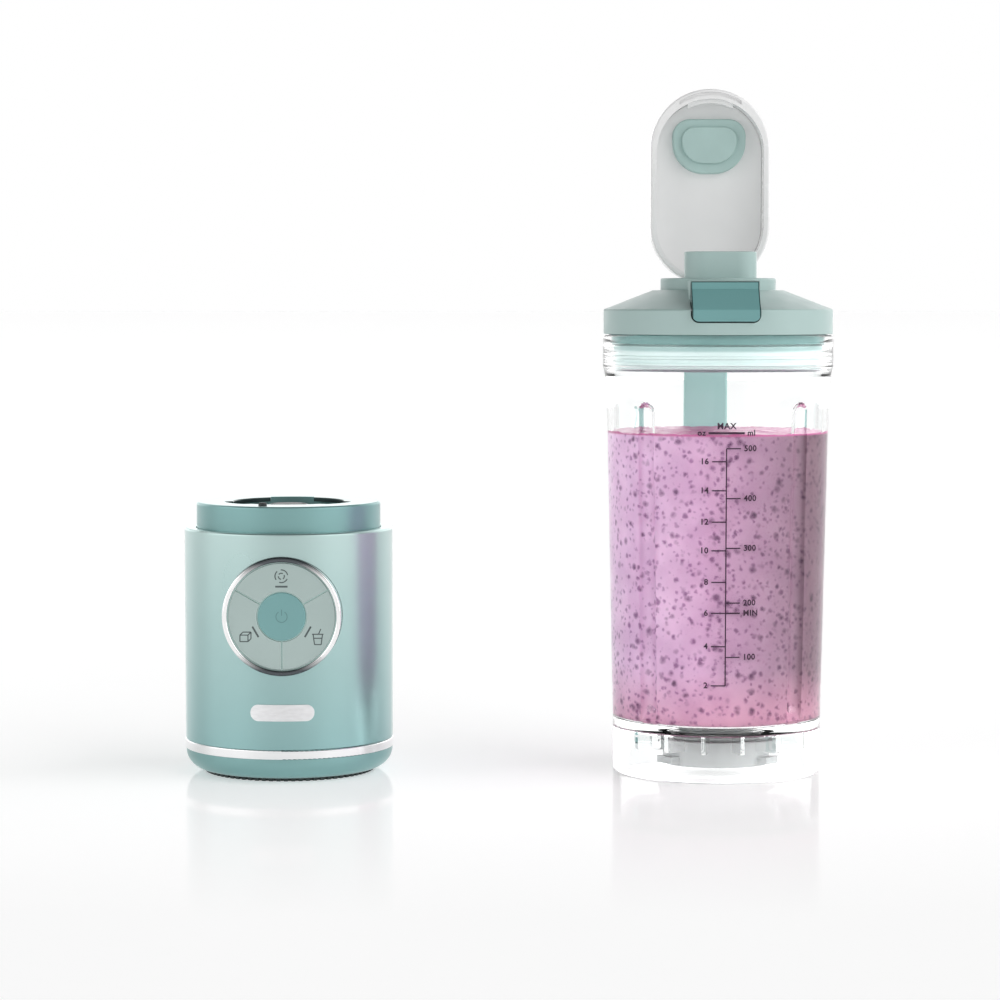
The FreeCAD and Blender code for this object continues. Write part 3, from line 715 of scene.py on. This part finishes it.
INK_LIFT = 0.00004                       # how far the print stands off the wall
PRINT_DROP = 0.0003                      # the whole print is set this much lower than its marks say
PRINT_STRETCH = 0.0110                   # and is this fraction taller
TOP_MARK = 0.1265
MAX_LINE = 0.1322
MIN_LINE = 0.0656
OUNCE_MARKS = {2: 0.0386, 4: 0.0532, 6: MIN_LINE, 8: 0.0771,
               10: 0.0888, 12: 0.0994, 14: 0.1110, 16: 0.1217}
MILLILITRE_MARKS = {100: 0.0492, 200: 0.0694, 300: 0.0897, 400: 0.1081, 500: TOP_MARK}


def wall_radius(z):
    foot = WALL_LOW + SKIRT_STEP
    return foot + (WALL_HIGH - foot) * (z - WALL_FOOT) / (WALL_TOP - WALL_FOOT)


def wrapped(flat):
    """A point (x, z) of the drawing, laid on the front of the cup's wall."""
    x, z = flat
    z = z - PRINT_DROP - PRINT_STRETCH * (TOP_MARK - z)
    r = wall_radius(z) + INK_LIFT
    a = x / r - math.pi / 2
    return CUP_X + r * math.cos(a), r * math.sin(a), z


def bar_points(x0, z0, x1, z1, thick):
    """A thin straight stroke as a strip of quads, fine enough to follow a curve."""
    dx, dz = x1 - x0, z1 - z0
    length = math.hypot(dx, dz)
    steps = max(1, int(length / 0.0012))
    nx, nz = -dz / length * thick / 2, dx / length * thick / 2
    points = []
    for i in range(steps + 1):
        x, z = x0 + dx * i / steps, z0 + dz * i / steps
        points += [(x + nx, z + nz), (x - nx, z - nz)]
    return points, strip_quads(steps)


def strip_quads(steps):
    """Quads between pairs of points that follow each other."""
    return [(2 * i, 2 * i + 1, 2 * i + 3, 2 * i + 2) for i in range(steps)]


def line_points(corners, thick):
    """Straight strokes from each corner to the next."""
    return [bar_points(*here, *there, thick) for here, there in zip(corners, corners[1:])]


def text_points(words, size, x, z, align):
    """Letters as flat points and faces, their middle height at z."""
    curve = bpy.data.curves.new("words", "FONT")
    curve.body = words
    curve.size = size
    curve.align_x = align
    curve.align_y = "CENTER"
    curve.offset = 0.00009
    curve.space_character = 1.10
    curve.resolution_u = 4
    letters = bpy.data.objects.new("words", curve)
    bpy.context.scene.collection.objects.link(letters)
    mesh = bpy.data.meshes.new_from_object(letters.evaluated_get(bpy.context.evaluated_depsgraph_get()))
    points = [(v.co.x + x, v.co.y + z) for v in mesh.vertices]
    faces = [tuple(p.vertices) for p in mesh.polygons]
    bpy.data.objects.remove(letters)
    bpy.data.curves.remove(curve)
    bpy.data.meshes.remove(mesh)
    return points, faces


def collect(parts):
    """Several drawings as one."""
    points, faces = [], []
    for more_points, more_faces in parts:
        base = len(points)
        points += more_points
        faces += [tuple(base + i for i in face) for face in more_faces]
    return points, faces


def cup_print():
    """The scale on the cup's front: ounces to the left of its line, millilitres to the right."""
    axis = 0.0004
    stroke, letter = 0.00046, 0.0030
    tick, number_gap = 0.0054, 0.0066
    parts = [bar_points(axis, OUNCE_MARKS[2], axis, TOP_MARK, stroke)]
    for number, z in OUNCE_MARKS.items():
        parts.append(bar_points(axis - tick, z, axis, z, stroke))
        parts.append(text_points(str(number), letter, axis - number_gap, z, "RIGHT"))
    for number, z in MILLILITRE_MARKS.items():
        parts.append(bar_points(axis, z, axis + tick, z, stroke))
        parts.append(text_points(str(number), letter, axis + number_gap, z, "LEFT"))
    parts.append(bar_points(axis - 0.0068, MAX_LINE, axis + 0.0068, MAX_LINE, stroke * 1.7))
    parts.append(text_points("MAX", letter * 1.05, axis, MAX_LINE + 0.0025, "CENTER"))
    parts.append(text_points("oz", letter, axis - 0.0078, MAX_LINE, "RIGHT"))
    parts.append(text_points("ml", letter, axis + 0.0078, MAX_LINE, "LEFT"))
    parts.append(bar_points(axis, MIN_LINE, axis + tick, MIN_LINE, stroke * 1.3))
    parts.append(text_points("MIN", letter, axis + number_gap, MIN_LINE, "LEFT"))
    points, faces = collect(parts)
    piece = make("cup_scale", [wrapped(p) for p in points], faces, "cup", INK)


# ---------------------------------------------------------------- signs on the keys

def arc_points(r, start, end, thick, steps=24):
    """A stroke round the sign's middle, from one angle to another."""
    points = []
    for i in range(steps + 1):
        a = math.radians(start + (end - start) * i / steps)
        for reach in (r - thick / 2, r + thick / 2):
            points.append((reach * math.cos(a), reach * math.sin(a)))
    return points, strip_quads(steps)


def power_sign():
    stroke = 0.00030
    return [arc_points(0.0021, 122, 418, stroke), bar_points(0, 0.0004, 0, 0.0027, stroke)]


def blend_sign():
    """Three arcs that chase each other round."""
    stroke = 0.00034
    parts = []
    for turn in (0, 120, 240):
        parts.append(arc_points(0.0019, turn + 10, turn + 95, stroke))
        parts.append(arc_points(0.0009, turn + 60, turn + 145, stroke))
    return parts


def smoothie_sign():
    """A tumbler with a straw."""
    stroke = 0.00032
    brim, foot = 0.0010, -0.0021
    tumbler = line_points([(-0.0014, brim), (-0.0010, foot), (0.0010, foot), (0.0014, brim)], stroke)
    lip = line_points([(-0.0017, brim), (0.0017, brim)], stroke)
    straw = line_points([(0.0002, brim), (0.0009, 0.0026)], stroke)
    drink_line = line_points([(-0.0012, -0.0002), (0.0012, -0.0002)], stroke)
    return tumbler + lip + straw + drink_line


def crush_sign():
    """An ice cube in outline."""
    stroke = 0.00032
    half, slant = 0.0012, 0.0009
    left, right = -half - slant / 2, half - slant / 2
    far_left, far_right = -half + slant / 2, half + slant / 2
    top, far_top = half - slant / 2, half + slant / 2
    foot, far_foot = -half, -half + slant
    face = line_points([(left, foot), (right, foot), (right, top), (left, top), (left, foot)], stroke)
    edge = line_points([(left, top), (far_left, far_top), (far_right, far_top),
                        (far_right, far_foot)], stroke)
    corner = line_points([(right, top), (far_right, far_top)], stroke)
    side = line_points([(far_right, far_foot), (right, foot)], stroke)
    return face + edge + corner + side


# Each key's sign: its body, drawing, direction from the dial's middle in degrees, distance, size and ink.
SIGNS = (("power_button", power_sign, 0, 0.0, 1.0, FAINT),
         ("blend_key", blend_sign, 90, 0.0152, 1.25, LIGHT),
         ("smoothie_key", smoothie_sign, -30, 0.0156, 1.25, LIGHT),
         ("crush_key", crush_sign, 210, 0.0156, 1.25, LIGHT))


def key_signs():
    """The signs, printed on the keys a hair off their faces."""
    for body, draw, angle, ring, size, mat in SIGNS:
        x = ring * math.cos(math.radians(angle))
        z = DIAL_Z + ring * math.sin(math.radians(angle))
        points, faces = collect(draw())
        verts = [(x + px * size, KEY_FACE - 0.00003, z + pz * size) for px, pz in points]
        piece = make(body + "_sign", verts, faces, body, mat)


# ---------------------------------------------------------------- studio

def plane(name, half, mat):
    """A level square about the middle, for the stage."""
    verts = [(-half, -half, 0), (half, -half, 0), (half, half, 0), (-half, half, 0)]
    mesh = bpy.data.meshes.new(name)
    mesh.from_pydata(verts, [], [(0, 1, 2, 3)])
    mesh.materials.append(mat)
    piece = bpy.data.objects.new(name, mesh)
    bpy.context.scene.collection.objects.link(piece)


# How bright shiny surfaces see the studio: at the sides, straight in front and overhead.
SHINE_SIDE = 1.66
SHINE_FRONT = 0.48
SHINE_TOP = 0.10
FILL = 0.42                              # the soft light from the horizon


def surroundings():
    """White all round. Shiny surfaces see it darker in front, overhead and in a strip at each side."""
    world = bpy.data.worlds.new("studio")
    bpy.context.scene.world = world
    world.use_nodes = True
    tree = world.node_tree
    ground = tree.nodes["Background"]
    ground.inputs["Color"].default_value = (1, 1, 1, 1)
    toward = tree.nodes.new("ShaderNodeTexCoord")
    axis = tree.nodes.new("ShaderNodeSeparateXYZ")
    tree.links.new(toward.outputs["Generated"], axis.inputs[0])
    front = map_range(tree, axis.outputs["Y"], -0.96, -0.68, SHINE_FRONT, SHINE_SIDE)
    off = combine(tree, "ABSOLUTE", combine(tree, "SUBTRACT", axis.outputs["Y"], 0.37))
    front = combine(tree, "MULTIPLY", front, map_range(tree, off, 0.10, 0.40, 0.42, 1.0))
    above = map_range(tree, axis.outputs["Z"], 0.45, 0.80, SHINE_SIDE, SHINE_TOP)
    shine = combine(tree, "MINIMUM", front, above)
    ray = tree.nodes.new("ShaderNodeLightPath").outputs
    through = map_range(tree, axis.outputs["Y"], 0.50, 0.90, 0.25, 1.0)
    bent = combine(tree, "MULTIPLY", ray["Is Transmission Ray"], through)
    seen = combine(tree, "MAXIMUM", ray["Is Camera Ray"], bent)
    glossy = combine(tree, "MULTIPLY", ray["Is Glossy Ray"], shine)
    direct = combine(tree, "MAXIMUM", ray["Is Camera Ray"], ray["Is Transmission Ray"])
    rest = combine(tree, "SUBTRACT", 1.0, combine(tree, "MAXIMUM", direct, ray["Is Glossy Ray"]))
    fade = map_range(tree, axis.outputs["Z"], 0.0, 0.7, FILL, FILL * 0.28)
    fill = combine(tree, "MULTIPLY", rest, fade)
    total = combine(tree, "ADD", combine(tree, "ADD", seen, glossy), fill)
    tree.links.new(total, ground.inputs["Strength"])


def sun(name, elevation, azimuth, strength, spread):
    """A far lamp so wide that its shadows are soft. Azimuth is from the front, towards the right."""
    lamp = bpy.data.lights.new(name, "SUN")
    lamp.energy = strength
    lamp.angle = math.radians(spread)
    holder = bpy.data.objects.new(name, lamp)
    e, a = math.radians(elevation), math.radians(azimuth)
    come = Vector((math.cos(e) * math.sin(a), -math.cos(e) * math.cos(a), math.sin(e)))
    holder.rotation_euler = (-come).to_track_quat("-Z", "Y").to_euler()
    holder.visible_glossy = False
    bpy.context.scene.collection.objects.link(holder)


# Each lamp: elevation, azimuth, strength, spread.
LAMPS = {"key_lamp": (28, 75, 1.90, 75),
         "left_lamp": (5, -60, 0.80, 45),
         "front_lamp": (12, 20, 0.40, 45)}
EYE = (CUP_X / 2 - 0.0011, -1.155, 0.182)
EYE_TILT = 3.85                          # degrees down from level


def studio():
    plane("table", 40, floor_finish())
    surroundings()
    for name, settings in LAMPS.items():
        sun(name, *settings)


def camera():
    """Square on to the front, a little above, with a long lens."""
    lens = bpy.data.cameras.new("camera")
    lens.sensor_width = 36
    lens.lens = 108
    lens.clip_end = 100
    holder = bpy.data.objects.new("camera", lens)
    holder.location = EYE
    holder.rotation_euler = (math.radians(90 - EYE_TILT), 0, 0)
    bpy.context.scene.collection.objects.link(holder)
    bpy.context.scene.camera = holder


def build():
    camera()
    studio()
    finish_nodes()
    clear_cup()
    cup_fins()
    berry_drink()
    cup_print()
    key_signs()
    bpy.context.scene.view_settings.view_transform = "Standard"


build()
